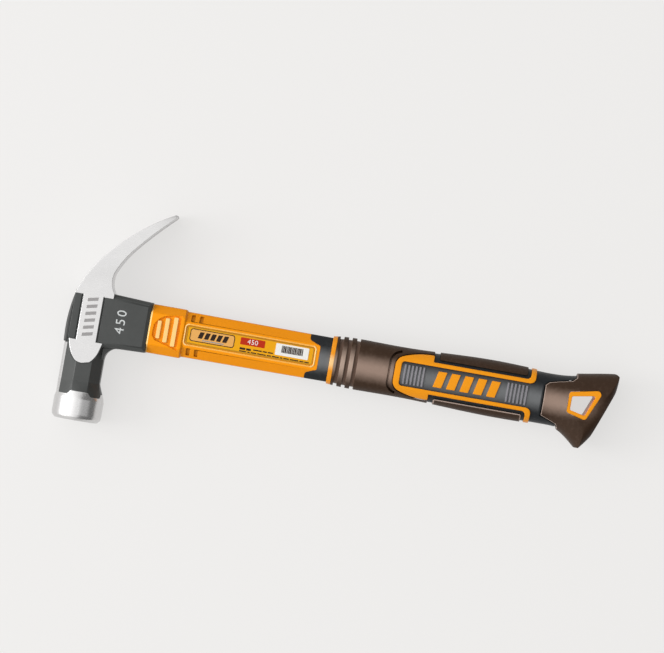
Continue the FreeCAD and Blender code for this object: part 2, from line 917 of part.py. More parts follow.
def tongue_outline(start):
    """Yellow side of the joint between sleeve and band, from start to the tongue's tip."""
    far = size("rest_width")
    edge = BAND_START
    return [
        (start, -far),
        (edge, -far),
        (edge, -11.2, -2.0),
        (edge + 1.8, -9.2),
        (TONGUE_END - 1.8, -7.8, 1.6),
        (TONGUE_END, -6.2),
        (TONGUE_END, 6.2, 1.6),
        (TONGUE_END - 1.8, 7.8),
        (edge + 1.8, 9.2, -2.0),
        (edge, 11.2),
        (edge, far),
        (start, far),
    ]


def fan_loops():
    """Fan-shaped recess of the collar with its three upright ribs left standing."""
    x = SOCKET_END
    fan = [
        (x + 2.7, -3.8),
        (x + 4.8, -6.4),
        (x + 18.6, -10.4),
        (x + 18.6, 10.4, 60),
        (x + 9.5, 8.8, 11),
        (x + 2.9, 2.6),
    ]
    ribs = [
        rounded_box(x + 4.9, x + 7.2, -5.2, 5.6, 0.6),
        rounded_box(x + 9.4, x + 11.9, -6.9, 7.8, 0.6),
        rounded_box(x + 14.3, x + 16.9, -8.6, 9.0, 0.6),
    ]
    return [fan, *ribs]


def label_box(inset=0.0):
    return rounded_box(
        COLLAR_END + 1.8 + inset, BAND_START + 4.0 - inset, -5.6 + inset, 6.0 - inset, 1.4
    )


def make_sleeve(shank):
    collar = form("collar_form", collar_form())
    start = SOCKET_END - size("spigot")
    spigot = plain_pad("sleeve_spigot", eye_outline("mouth", shrink=0.4), start, SOCKET_END + 1.0)
    yellow = common("sleeve_shank", shank, prism("sleeve_reach", tongue_outline(COLLAR_END)))
    whole = joined("sleeve_blank", collar, spigot, yellow)
    floor = size("collar_width") * 0.5 - size("rib_relief")
    label_floor = size("sleeve_width") * 0.5 - size("label_recess")
    far = size("rest_width")
    slots = []
    inner = size("notch_inner")
    outer = size("sleeve_height") * 0.5 - size("notch_depth") - size("notch_edge")
    for number in range(2):
        x = COLLAR_END + size("notch_start") + size("notch_step") * number
        for low, high in ((inner, outer), (-outer, -inner)):
            slots.append(rounded_box(x, x + size("notch_width"), low, high, 0.5))
    notch_floor = form("notch_floor", shank_form(float(size("notch_depth"))))
    notches = cut("sleeve_notches", prism("notch_columns", *slots), notch_floor)
    return cut(
        "shank_sleeve",
        whole,
        core_hole("sleeve_core_hole", start - 1.0, TONGUE_END + 1.0),
        prism("fan_front", *fan_loops(), low=floor, high=far),
        prism("fan_back", *fan_loops(), low=-far, high=-floor),
        prism("label_recess_front", label_box(), low=label_floor, high=far),
        prism("label_recess_back", label_box(), low=-far, high=-label_floor),
        notches,
    )


def make_label(name, side):
    body = new_body(name)
    level = size("sleeve_width") * 0.5 - size("label_recess")
    sketch = body_sketch(body, "XY_Plane", f"{name}_outline", label_box(0.4), offset=level * side)
    add_pad(body, f"{name}_sheet", sketch, size("label_thick"), reverse=side < 0)
    return body


def make_sticker():
    body = new_body("barcode_sticker")
    level = size("sleeve_width") * 0.5 - size("label_recess") + size("label_thick")
    outline = rounded_box(BAND_START - 19.6, BAND_START + 0.4, -2.5, 4.5, 0.4)
    sketch = body_sketch(body, "XY_Plane", "sticker_outline", outline, offset=level)
    add_pad(body, "sticker_sheet", sketch, size("sticker_thick"))
    return body


def make_band(shank):
    span = common("band_span", shank, prism("band_reach", slice_outline(BAND_START - 0.1, RING_START)))
    return cut(
        "shank_band",
        span,
        prism("band_joint", tongue_outline(BAND_START - 1.0)),
        core_hole("band_core_hole", BAND_START - 1.0, RING_START + 1.0),
    )


def make_ring(grip):
    span = common("ring_span", grip, prism("ring_reach", slice_outline(RING_START, GRIP_START)))
    return cut("accent_ring", span, core_hole("ring_core_hole", RING_START - 1.0, GRIP_START + 1.0))


# ---------------------------------------------------------------- grip

BAR_TOP = 9.4
BAR_BOTTOM = -10.1
BAR_DEPTH = 2.4


def fan_window(gap=0.0):
    """Outline of the frame's front fan, closed across its rear step, grown by a gap."""
    x = FAN_START
    return [
        (x - gap, -5.0, 6.5 + float(gap)),
        (x + 3.4 - gap * 0.4, -10.6 - gap, 46),
        (FAN_STEP, -13.6 - gap),
        (FAN_STEP, 13.3 + gap, 46),
        (x + 3.4 - gap * 0.4, 9.7 + gap, 6.5 + float(gap)),
        (x - gap, 4.2),
    ]


def frame_outline():
    """The frame's side view: front fan, two bars, and arms that turn out to the grip's edges."""
    x = FAN_START
    far = size("rest_width") * 2
    inner_top = BAR_TOP - BAR_DEPTH
    inner_bottom = BAR_BOTTOM + BAR_DEPTH
    return [
        (x, -5.0, 6.5),
        (x + 3.4, -10.6, 46),
        (FAN_STEP, -13.6),
        (FAN_STEP, BAR_BOTTOM),
        (ARM_START - 2.5, BAR_BOTTOM, -2.5),
        (ARM_START, BAR_BOTTOM - 2.5),
        (ARM_START, -far),
        (ARM_END, -far),
        (ARM_END, inner_bottom - 3.4, 3.4),
        (ARM_END - 3.4, inner_bottom),
        (x + 5.6, inner_bottom, -1.9),
        (x + 3.7, inner_bottom + 1.9),
        (x + 3.7, inner_top - 1.9, -1.9),
        (x + 5.6, inner_top),
        (ARM_END - 3.4, inner_top, 3.4),
        (ARM_END, inner_top + 3.4),
        (ARM_END, far),
        (ARM_START, far),
        (ARM_START, BAR_TOP + 2.5, -2.5),
        (ARM_START - 2.5, BAR_TOP),
        (FAN_STEP, BAR_TOP),
        (FAN_STEP, 13.3, 46),
        (x + 3.4, 9.7, 6.5),
        (x, 4.2),
    ]


def groove_outline():
    """Sunk line in the front grip that follows the fan, about two millimetres outside it."""
    x = FAN_START
    return [
        (x - 3.8, -6.0, 6.4),
        (x - 0.5, -12.1),
        (x + 2.0, -13.2),
        (x + 2.6, -12.0),
        (x + 0.1, -10.9, -5.4),
        (x - 2.6, -6.0),
        (x - 2.6, 4.6, -7.0),
        (x + 0.1, 10.6),
        (x + 3.1, 11.9),
        (x + 2.5, 13.1),
        (x - 0.5, 11.8, 8.0),
        (x - 3.8, 4.6),
    ]


def pad_outline(side):
    """One edge pad in side view, from its inner edge out past the grip's edge."""
    far = size("rest_width") * 2
    start = FAN_STEP + 3.4
    end = ARM_START - 2.2
    if side > 0:
        inner = BAR_TOP + 1.9
        return [
            (start, inner + 1.0, 1.0),
            (start + 1.0, inner),
            (end - 1.0, inner, 1.0),
            (end, inner + 1.0),
            (end, far),
            (start, far),
        ]
    inner = BAR_BOTTOM - 2.2
    return [
        (start, -far),
        (end, -far),
        (end, inner - 1.0, 1.0),
        (end - 1.0, inner),
        (start + 1.0, inner, 1.0),
        (start, inner - 1.0),
    ]


def butt_front(gap):
    """Front edge of the butt from its lower to its upper wing, moved forward by gap."""
    x = BUTT_START - gap
    lower = [(x + 10.9, -18.5 - gap), (x + 10.9, -16.6 - gap), (x + 9.7, -14.3 - gap), (x, -10.6 - gap)]
    upper = [
        (x, 7.8 + gap),
        (x + 1.9, 9.5 + gap),
        (x + 7.0, 10.9 + gap),
        (x + 15.6, 12.7 + gap),
        (x + 18.0, 14.9 + gap),
        (x + 18.0, 22.0 + gap),
    ]
    return lower + upper


def butt_outline():
    """Side view of the butt, with its slanting end and the rounded heel below it."""
    far = size("rest_width") * 1.5
    end = BUTT_END
    lower, upper = butt_front(0.0)[:4], butt_front(0.0)[4:]
    rear = [
        (end - 3.3, far),
        (end - 3.3, 21.3, -4.6),
        (end + 1.2, 15.6),
        (end - 13.8, -24.6, -3.4),
        (end - 18.0, -26.2),
        (end - 20.4, -26.4),
        (end - 20.4, -far),
    ]
    return [(BUTT_START + 10.9, -far), *lower, *upper, (BUTT_START + 18.0, far), *rear]


def rear_outline():
    """Where the black neck and panel show, from the fan's step to just short of the butt."""
    far = size("rest_width") * 2
    gap = float(size("butt_gap"))
    edge = butt_front(gap)
    return [
        (FAN_STEP, far),
        (FAN_STEP, -far),
        (BUTT_START - gap + 10.9, -far),
        *edge,
        (BUTT_START - gap + 18.0, far),
    ]


def emblem_loops():
    """Slanting bars that fill the panel between the fan's step and the rear treads."""
    bars = 5
    slant = 2.2
    x = FAN_STEP + size("emblem_inset")
    room = REAR_TREADS - size("emblem_gap") - x
    width = (room - slant - size("emblem_space") * (bars - 1)) * (1 / bars)
    loops = []
    for _ in range(bars):
        loops.append([(x, -5.2), (x + width, -5.2), (x + width + slant, 4.6), (x + slant, 4.6)])
        x = x + width + size("emblem_space")
    return loops


def tread_loops(first):
    """Six fine ribs across the panel."""
    loops = []
    for number in range(6):
        x = first + size("tread_step") * number
        end = x + size("tread_width")
        loops.append([(x, -6.4), (end, -6.4), (end, 5.3), (x, 5.3)])
    return loops


def hole_outline():
    """Outside of the hang hole's liner."""
    x = HOLE_START
    return [
        (x, -4.8, 1.8),
        (x + 1.4, -6.5),
        (x + 9.9, -8.8, 2.2),
        (x + 12.9, -7.4),
        (x + 18.9, 6.2, 2.4),
        (x + 16.2, 9.4),
        (x + 1.5, 6.4, 1.9),
        (x, 4.7),
    ]


def hole_opening():
    """The hang hole itself, hole_wall inside the liner."""
    x = HOLE_START + size("hole_wall")
    return [
        (x, -3.7, 0.9),
        (x + 0.8, -4.6),
        (x + 8.2, -6.3, 1.1),
        (x + 9.6, -5.6),
        (x + 13.7, 4.7, 1.0),
        (x + 12.8, 6.0),
        (x + 0.8, 3.9, 0.9),
        (x, 3.1),
    ]


def inlay(label, grip, bed, reach):
    """What lies between the grip's surface and its bed inside a side-view outline."""
    return cut(label, common(f"{label}_blank", grip, reach), bed)


def make_grip_front(grip, bed):
    """Soft front of the grip: three ring grooves, and a window for the frame's fan."""
    ridges = []
    start = GRIP_START
    for number in range(3):
        groove = GRIP_START + size("groove_start") + size("groove_step") * number
        ridges.append(slice_outline(start, groove))
        start = groove + size("groove_width")
    ridges.append(slice_outline(start, FAN_STEP))
    ridges.append(groove_outline())
    floor = form("groove_floor", grip_form(float(size("grip_groove"))))
    low = common("front_floor", floor, prism("front_reach", slice_outline(GRIP_START, FAN_STEP)))
    raised = common("front_ridges", grip, prism("ridge_columns", *ridges))
    high = cut("front_skin", raised, prism("fan_clearance", fan_window(size("fan_gap"))))
    return cut("grip_front", joined("front_blank", low, high), prism("front_window", fan_window()), bed)


def make_emblem(name, side):
    low, high = (0.0, size("rest_width")) if side > 0 else (-size("rest_width"), 0.0)
    raised = form(f"{name}_top", grip_form(float(size("panel_drop") - size("emblem_rise"))))
    bed = form(f"{name}_bed", grip_form(float(size("panel_drop"))))
    columns = prism(f"{name}_bars", *emblem_loops(), low=low, high=high)
    return cut(name, common(f"{name}_blank", raised, columns), bed)


def make_grip_body(bed_span, frame_reach, pad_reaches):
    """Hard moulding on the core: a bed under the soft pieces, the panel, the neck and the butt's peg."""
    window = joined("shown_reach", prism("panel_reach", fan_window()), prism("rear_reach", rear_outline()))
    shown = cut("skin_reach", window, frame_reach, *pad_reaches)
    span = prism("grip_span", slice_outline(GRIP_START, BUTT_END))
    pockets = cut("pockets", cut("hidden_reach", span, shown), bed_span)
    panel = common("panel_blank", form("panel_form", grip_form(float(size("panel_drop")))), span)
    skin = cut("body_skin", panel, pockets)
    tread_reach = joined(
        "tread_reach",
        prism("front_treads", *tread_loops(FAN_START + size("front_treads"))),
        prism("rear_treads", *tread_loops(REAR_TREADS)),
    )
    tread_top = form("tread_top", grip_form(float(size("panel_drop") - size("tread_rise"))))
    treads = common("treads", tread_top, tread_reach)
    peg = plain_pad("butt_peg", core_outline(2.0), BUTT_START - 2.0, CORE_END)
    whole = joined("body_blank", skin, treads, peg)
    return cut("grip_body", whole, core_hole("body_core_hole", GRIP_START - 1.0, CORE_END + 1.0))


def make_butt(bed_span):
    shape = form("butt_form", butt_form())
    side = prism("butt_side", butt_outline(), low=-HALF_REST, high=HALF_REST)
    crowned = common("butt_crowned", shape, form("end_crown", end_crown()))
    span = common("butt_span", crowned, side)
    room = plain_pad("peg_room", core_outline(2.0), BUTT_START - 2.0, CORE_END)
    return cut("grip_butt", span, bed_span, room, prism("liner_room", hole_outline()))


def make_liner():
    body = new_body("hang_hole_liner")
    reach = size("rest_width") - 0.8
    sketch = body_sketch(body, "XY_Plane", "liner_outline", hole_outline(), hole_opening())
    add_pad(body, "liner", sketch, reach, symmetric=True)
    return body


# ---------------------------------------------------------------- build


def make_handle():
    shank = form("shank_form", shank_form())
    grip = form("grip_form", grip_form())
    bed = form("grip_bed", grip_form(float(size("skin"))))
    neck_end = HOLE_START - size("neck_gap")
    bed_span = common("bed_span", bed, prism("bed_reach", slice_outline(GRIP_START, neck_end)))
    frame_reach = prism("frame_reach", frame_outline())
    claw_reach = prism("claw_pad_reach", pad_outline(1))
    face_reach = prism("face_pad_reach", pad_outline(-1))
    return [
        make_sleeve(shank),
        make_band(shank),
        make_ring(grip),
        inlay("trim_frame", grip, bed, frame_reach),
        inlay("grip_pad_claw_side", grip, bed, claw_reach),
        inlay("grip_pad_face_side", grip, bed, face_reach),
        make_grip_front(grip, bed),
        make_emblem("emblem_bars_front", 1),
        make_emblem("emblem_bars_back", -1),
        make_grip_body(bed_span, frame_reach, [claw_reach, face_reach]),
        make_butt(bed_span),
    ]


def make_bodies():
    bodies = [
        make_head(),
        make_eye_resin(),
        make_eye_cap(),
        make_core(),
        make_label("sleeve_label_front", 1),
        make_label("sleeve_label_back", -1),
        make_sticker(),
        make_liner(),
    ]
    for body in bodies:
        body.Placement = ROW_PLACE
    return bodies


NODES = make_bodies() + make_handle()
doc.recompute()
for thing in doc.Objects:
    if "Invalid" in thing.State or "Error" in thing.State:
        raise RuntimeError(f"{thing.Label} did not rebuild")
for node in NODES:
    if node.Shape.isNull() or not node.Shape.isValid() or not node.Shape.Solids:
        raise RuntimeError(f"{node.Label} is not a valid solid")
os.makedirs("parts", exist_ok=True)
for node in NODES:
    node.Shape.exportStep(f"parts/{node.Label}.step")
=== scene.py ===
import math

import bmesh
import bpy
from mathutils import Matrix, Vector
from mathutils.bvhtree import BVHTree


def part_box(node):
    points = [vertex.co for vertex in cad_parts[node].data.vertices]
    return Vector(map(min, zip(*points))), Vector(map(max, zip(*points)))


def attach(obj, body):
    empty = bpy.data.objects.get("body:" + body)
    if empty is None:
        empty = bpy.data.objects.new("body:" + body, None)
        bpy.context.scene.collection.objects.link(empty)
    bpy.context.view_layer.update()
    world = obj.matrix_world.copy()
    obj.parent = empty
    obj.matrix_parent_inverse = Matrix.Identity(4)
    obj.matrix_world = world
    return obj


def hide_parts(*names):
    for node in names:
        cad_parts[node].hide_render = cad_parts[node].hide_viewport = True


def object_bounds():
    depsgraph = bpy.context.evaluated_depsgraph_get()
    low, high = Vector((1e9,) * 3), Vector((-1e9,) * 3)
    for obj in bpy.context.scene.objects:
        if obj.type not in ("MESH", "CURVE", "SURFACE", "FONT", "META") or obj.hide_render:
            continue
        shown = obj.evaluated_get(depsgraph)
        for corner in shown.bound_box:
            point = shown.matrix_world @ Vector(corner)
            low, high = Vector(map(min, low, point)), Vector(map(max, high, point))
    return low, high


MM = 0.001

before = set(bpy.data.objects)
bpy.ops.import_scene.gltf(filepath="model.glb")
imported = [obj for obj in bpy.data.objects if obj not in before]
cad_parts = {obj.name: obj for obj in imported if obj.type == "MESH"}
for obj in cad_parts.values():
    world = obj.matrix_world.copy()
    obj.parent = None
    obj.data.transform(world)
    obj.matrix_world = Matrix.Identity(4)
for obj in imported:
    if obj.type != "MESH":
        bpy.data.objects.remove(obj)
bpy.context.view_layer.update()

# The hammer's own axes: x runs down the handle from the middle of the cheek stripe, y points to the
# claws and z out of the cheek. Lengths in this file are in millimetres from that origin.
HEAD_LOW, HEAD_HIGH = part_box("hammer_head")
POLL_LEFT = -13.0
FACE_Y = -62.0
ORIGIN = Vector(
    (HEAD_LOW.x - POLL_LEFT * MM, HEAD_LOW.y - FACE_Y * MM, (HEAD_LOW.z + HEAD_HIGH.z) / 2)
)


def row(x, y, z=0.0):
    """A point of the hammer's own axes, in the frame's metres."""
    return ORIGIN + Vector((x, y, z)) * MM


def own(point):
    """A point of the frame, in the hammer's own axes and millimetres."""
    return (Vector(point) - ORIGIN) / MM


def own_box(node):
    """The two corners of a node's box, in the hammer's own axes."""
    return [own(corner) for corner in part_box(node)]


def repeated(start, step, count):
    """Where each of a row of equal features starts."""
    return [start + step * number for number in range(count)]


# ---------------------------------------------------------------- places on the hammer

SPIGOT = 4.0  # how far the sleeve enters the socket
SOCKET_END = own_box("shank_sleeve")[0].x + SPIGOT
COLLAR_END = SOCKET_END + 20.6
GRIP_START = own_box("grip_front")[0].x
FAN_START, ARM_END = (corner.x for corner in own_box("trim_frame"))
BUTT_START = own_box("grip_butt")[0].x
PAD_LOW, PAD_HIGH = own_box("grip_pad_face_side")

NOTCHES = repeated(COLLAR_END + 3.7, 5.0, 2)
NOTCH_WIDTH = 2.2
GROOVES = repeated(GRIP_START + 1.6, 5.0, 3)
GROOVE_WIDTH = 2.2
RIDGES = repeated(GROOVES[0] + GROOVE_WIDTH, 5.0, 2)
RIDGE_WIDTH = 2.8
TREADS = repeated(FAN_START + 5.6, 2.25, 6) + repeated(ARM_END - 16.4, 2.25, 6)
TREAD_WIDTH = 1.2
RIBS = ((41.0, 5.7), (45.5, 7.9), (50.4, 9.1))  # where each rib starts and its reach from the middle
RIB_WIDTH = 2.8

STRIPE_LEVEL = 12.5  # polished stripe of the cheek
CHEEK_LEVEL = 11.9  # painted cheek beside it
LABEL_LEVEL = own_box("sleeve_label_front")[1].z
STICKER_LEVEL = own_box("barcode_sticker")[1].z


# ---------------------------------------------------------------- materials


class Surface:
    """A material with one Principled shader and short calls for the nodes that feed it."""

    def __init__(self, name, colour, roughness, **sockets):
        self.material = bpy.data.materials.new(name)
        self.material.use_nodes = True
        self.material.diffuse_color = (*colour, 1.0)
        self.tree = self.material.node_tree
        self.shader = self.tree.nodes["Principled BSDF"]
        self.shader.inputs["Base Color"].default_value = (*colour, 1.0)
        self.shader.inputs["Roughness"].default_value = roughness
        for socket, value in sockets.items():
            self.shader.inputs[socket.replace("_", " ")].default_value = value
        self.place = self.node("ShaderNodeTexCoord").outputs["Object"]

    def node(self, kind, **settings):
        made = self.tree.nodes.new(kind)
        for key, value in settings.items():
            setattr(made, key, value)
        return made

    def link(self, value, socket):
        """Joins an output to a socket, or sets the socket to a plain value."""
        if isinstance(value, bpy.types.NodeSocket):
            self.tree.links.new(value, socket)
        elif isinstance(value, tuple) and len(value) == 3 and len(socket.default_value) == 4:
            socket.default_value = (*value, 1.0)
        else:
            socket.default_value = value

    def math(self, operation, first, second=0.0, third=0.0, clamp=False):
        made = self.node("ShaderNodeMath", operation=operation, use_clamp=clamp)
        for value, socket in zip((first, second, third), made.inputs):
            self.link(value, socket)
        return made.outputs[0]

    def spread(self, value, low, high, to_low=0.0, to_high=1.0):
        """Eases from one result to the other while the value goes from low to high."""
        made = self.node("ShaderNodeMapRange", interpolation_type="SMOOTHSTEP")
        for item, socket in zip((value, low, high, to_low, to_high), made.inputs):
            self.link(item, socket)
        return made.outputs["Result"]

    def noise(self, size_mm, detail=2.0, stretch=(1.0, 1.0, 1.0)):
        """Noise with features about size_mm long, drawn out by stretch along each axis."""
        scale = self.node("ShaderNodeVectorMath", operation="MULTIPLY")
        self.link(self.place, scale.inputs[0])
        scale.inputs[1].default_value = tuple(1 / (size_mm * MM * part) for part in stretch)
        made = self.node("ShaderNodeTexNoise")
        self.link(scale.outputs[0], made.inputs["Vector"])
        made.inputs["Scale"].default_value = 1.0
        made.inputs["Detail"].default_value = detail
        made.inputs["Roughness"].default_value = 0.55
        return made.outputs["Fac"]

    def grain(self, size_mm):
        """Fine pebbled grain of moulded plastic or rubber."""
        scale = self.node("ShaderNodeVectorMath", operation="SCALE")
        self.link(self.place, scale.inputs[0])
        scale.inputs["Scale"].default_value = 1 / (size_mm * MM)
        made = self.node("ShaderNodeTexVoronoi", feature="SMOOTH_F1")
        self.link(scale.outputs[0], made.inputs["Vector"])
        made.inputs["Scale"].default_value = 1.0
        return made.outputs["Distance"]

    def blend(self, amount, first, second):
        """Mixes two colours, which are all first at 0 and all second at 1."""
        made = self.node("ShaderNodeMix", data_type="RGBA")
        self.link(amount, made.inputs[0])
        self.link(first, made.inputs[6])
        self.link(second, made.inputs[7])
        return made.outputs[2]

    def colour(self, value):
        self.link(value, self.shader.inputs["Base Color"])

    def roughness(self, value):
        self.link(value, self.shader.inputs["Roughness"])

    def uneven_roughness(self, middle):
        """Roughness that wanders a little to both sides of a middle value, as on handled plastic."""
        swing = 0.16
        uneven = self.noise(3.0, 4.0)
        self.roughness(self.math("MULTIPLY_ADD", uneven, swing, middle - swing / 2))

    def bump(self, height, depth_mm):
        """Adds a relief to those that the surface has already."""
        made = self.node("ShaderNodeBump")
        made.inputs["Distance"].default_value = depth_mm * MM
        self.link(height, made.inputs["Height"])
        previous = self.shader.inputs["Normal"]
        if previous.is_linked:
            self.link(previous.links[0].from_socket, made.inputs["Normal"])
        self.link(made.outputs["Normal"], previous)

    def axis(self, letter):
        """One coordinate in the hammer's own axes, in millimetres."""
        parts = self.node("ShaderNodeSeparateXYZ")
        self.link(self.place, parts.inputs[0])
        shifted = self.math("SUBTRACT", parts.outputs[letter], getattr(ORIGIN, letter.lower()))
        return self.math("DIVIDE", shifted, MM)


DULL_STEEL = (0.61, 0.605, 0.61)
STEEL = (0.66, 0.655, 0.65)
BRIGHT_STEEL = (0.73, 0.72, 0.72)
PAINT = (0.038, 0.041, 0.039)
DARK_PAINT = (0.036, 0.039, 0.038)
LIGHT_PAINT = (0.054, 0.057, 0.055)
YELLOW = (0.92, 0.30, 0.002)
TRIM_YELLOW = (0.88, 0.31, 0.008)
# A painted highlight for the crown of the accent ring.
HIGHLIT_YELLOW = (0.95, 0.60, 0.26)
LABEL_YELLOW = (0.80, 0.36, 0.005)
BLACK = (0.014, 0.016, 0.018)
# A painted highlight for the crown of the black band and the grip moulding.
HIGHLIT_BLACK = (0.15, 0.155, 0.16)
BROWN = (0.040, 0.020, 0.010)
# A painted highlight for the crown of the brown grip.
HIGHLIT_BROWN = (0.30, 0.21, 0.165)
# A paler and wider painted highlight for the crown of the grip's ridges.
HIGHLIT_RIDGE = (0.42, 0.31, 0.25)
# Pale brown painted highlight for the butt's edges and the lower pad's rim.
EDGE_HIGHLIGHT_BROWN = (0.42, 0.32, 0.27)

# Where along the handle the painted highlight on the crown ends, and how much of it is left beyond;
# NECK_FADE ends it just before the butt, so the black stays dark at that joint.
BUTT_FADE = (290.0, 311.0, 0.1)
NECK_FADE = (273.6, 274.6, 0.05)

# The left end, right end and top of the lower pad, whose rim gets a pale painted highlight.
LOWER_PAD = (PAD_LOW.x, PAD_HIGH.x + 0.05, PAD_HIGH.y)


def steel_finish(surface):
    """Colour and roughness of ground steel: fine grinding lines and faint clouds."""
    lines = surface.noise(0.35, 3.0, (14.0, 1.0, 1.0))
    clouds = surface.noise(9.0, 3.0)
    colour = surface.blend(clouds, DULL_STEEL, STEEL)
    colour = surface.blend(surface.spread(lines, 0.35, 0.75, 0.0, 0.35), colour, BRIGHT_STEEL)
    roughness = surface.math("ADD", surface.math("MULTIPLY", lines, 0.12), 0.20)
    return colour, roughness, lines


def paint_finish(surface):
    """Colour and roughness of the satin grey paint, a little mottled, with fine orange peel."""
    clouds = surface.noise(6.0, 4.0)
    specks = surface.noise(0.5, 2.0)
    colour = surface.blend(clouds, DARK_PAINT, LIGHT_PAINT)
    roughness = surface.math("ADD", surface.math("MULTIPLY", specks, 0.12), 0.36)
    return colour, roughness, specks


def make_steel():
    """Ground steel of the claws and of the cheek's stripe."""
    surface = Surface("ground_steel", STEEL, 0.3, Metallic=1.0)
    colour, roughness, lines = steel_finish(surface)
    surface.colour(colour)
    surface.roughness(roughness)
    surface.bump(lines, 0.006)
    return surface.material


def bare_steel(surface):
    """One where the head's paint stops: below the scalloped line of the poll and on the neck's back."""
    poll_centre = 2.0
    paint_end = 46.9
    scallop_reach = 2.3
    softness = 0.12
    from_centre = surface.math("SUBTRACT", surface.axis("X"), poll_centre)
    turn = surface.math("ARCTAN2", from_centre, surface.axis("Z"))
    facet = surface.math("PINGPONG", turn, math.pi / 4)
    scallop = surface.spread(facet, math.radians(20), math.radians(32), scallop_reach, 0.0)
    line = surface.math("SUBTRACT", scallop, paint_end)
    below_line = surface.spread(surface.math("SUBTRACT", line, surface.axis("Y")), -softness, softness)
    on_back = surface.spread(surface.axis("X"), -10.55, -10.4, 1.0, 0.0)
    under_cap = surface.spread(surface.axis("Y"), -16.75, -16.6, 1.0, 0.0)
    return surface.math("MAXIMUM", below_line, surface.math("MULTIPLY", on_back, under_cap))


def make_head_paint():
    """Satin paint, with bright ground steel wherever it stops."""
    surface = Surface("head_paint", PAINT, 0.4)
    bare = bare_steel(surface)
    steel, steel_rough, _ = steel_finish(surface)
    paint, paint_rough, specks = paint_finish(surface)
    surface.colour(surface.blend(bare, paint, steel))
    surface.link(bare, surface.shader.inputs["Metallic"])
    rough_step = surface.math("SUBTRACT", steel_rough, paint_rough)
    surface.roughness(surface.math("MULTIPLY_ADD", rough_step, bare, paint_rough))
    surface.bump(surface.math("SUBTRACT", specks, bare), 0.02)
    return surface.material


def make_plastic(name, colour, roughness, grain_mm, depth_mm, mottle=0.12, **sockets):
    """Moulded plastic: clouded colour, uneven gloss and a fine grain."""
    surface = Surface(name, colour, roughness, **sockets)
    clouds = surface.noise(14.0, 3.0)
    darker = tuple(part * (1 - mottle) for part in colour)
    lighter = tuple(min(part * (1 + mottle), 1.0) for part in colour)
    surface.colour(surface.blend(clouds, darker, lighter))
    surface.uneven_roughness(roughness)
    surface.bump(surface.grain(grain_mm), depth_mm)
    return surface.material


def outline_of_pad(surface, left, right, top):
    """One along the rim of a pad between these ends and below this height, and zero elsewhere."""
    inner, outer = 0.75, 0.55  # the rim begins to show and is full this far inside the pad's outline
    middle = (left + right) / 2
    half = (right - left) / 2
    along = surface.math("ABSOLUTE", surface.math("SUBTRACT", surface.axis("X"), middle))
    at_end = surface.spread(along, half - inner, half - outer)
    at_top = surface.spread(surface.axis("Y"), top - inner, top - outer)
    facing = surface.spread(surface.math("ABSOLUTE", surface.axis("Z")), 4.0, 5.0)
    return surface.math("MULTIPLY", surface.math("MAXIMUM", at_end, at_top), facing)


def make_crown_highlit(name, colour, highlit, roughness, grain_mm, depth_mm, reach=11.0, fade=BUTT_FADE, pad=None):
    """Grip plastic or rubber: fine grain, random clouds, and a painted highlight along the crown.

    The reach is how far from the crown the painted highlight ends. The fade says how it stops along the
    handle, and pad is the outline of a pad whose rim gets a painted highlight, if it has one."""
    surface = Surface(name, colour, roughness, Specular_IOR_Level=0.18)
    # Painted highlight: the colour turns paler towards the crown of the handle, with random clouds
    # added.
    across = surface.math("ABSOLUTE", surface.math("ADD", surface.axis("Y"), 1.0))
    wander = surface.math("MULTIPLY", surface.noise(12.0, 3.0), 2.0)
    crown = surface.spread(surface.math("ADD", across, wander), 1.5, reach, 1.0, 0.0)
    fade_start, fade_end, left_over = fade
    along = surface.spread(surface.axis("X"), fade_start, fade_end, 1.0, left_over)
    highlight_and_clouds = surface.math("MULTIPLY", crown, along)
    clouds = surface.math("MULTIPLY_ADD", surface.noise(2.2, 4.0), 0.24, -0.12)
    highlight_and_clouds = surface.math("ADD", highlight_and_clouds, clouds, clamp=True)
    shade = surface.blend(highlight_and_clouds, colour, highlit)
    if pad:
        # The pad's rim takes a pale painted highlight.
        shade = surface.blend(outline_of_pad(surface, *pad), shade, EDGE_HIGHLIGHT_BROWN)
    surface.colour(shade)
    surface.uneven_roughness(roughness)
    surface.bump(surface.grain(grain_mm), depth_mm)
    return surface.material


def make_print(name, colour, roughness):
    """Printed ink or film with a slight mottle."""
    surface = Surface(name, colour, roughness, Specular_IOR_Level=0.12)
    clouds = surface.noise(2.0, 3.0)
    surface.colour(surface.blend(clouds, tuple(part * 0.9 for part in colour), colour))
    surface.bump(surface.noise(0.4, 1.0), 0.008)
    return surface.material


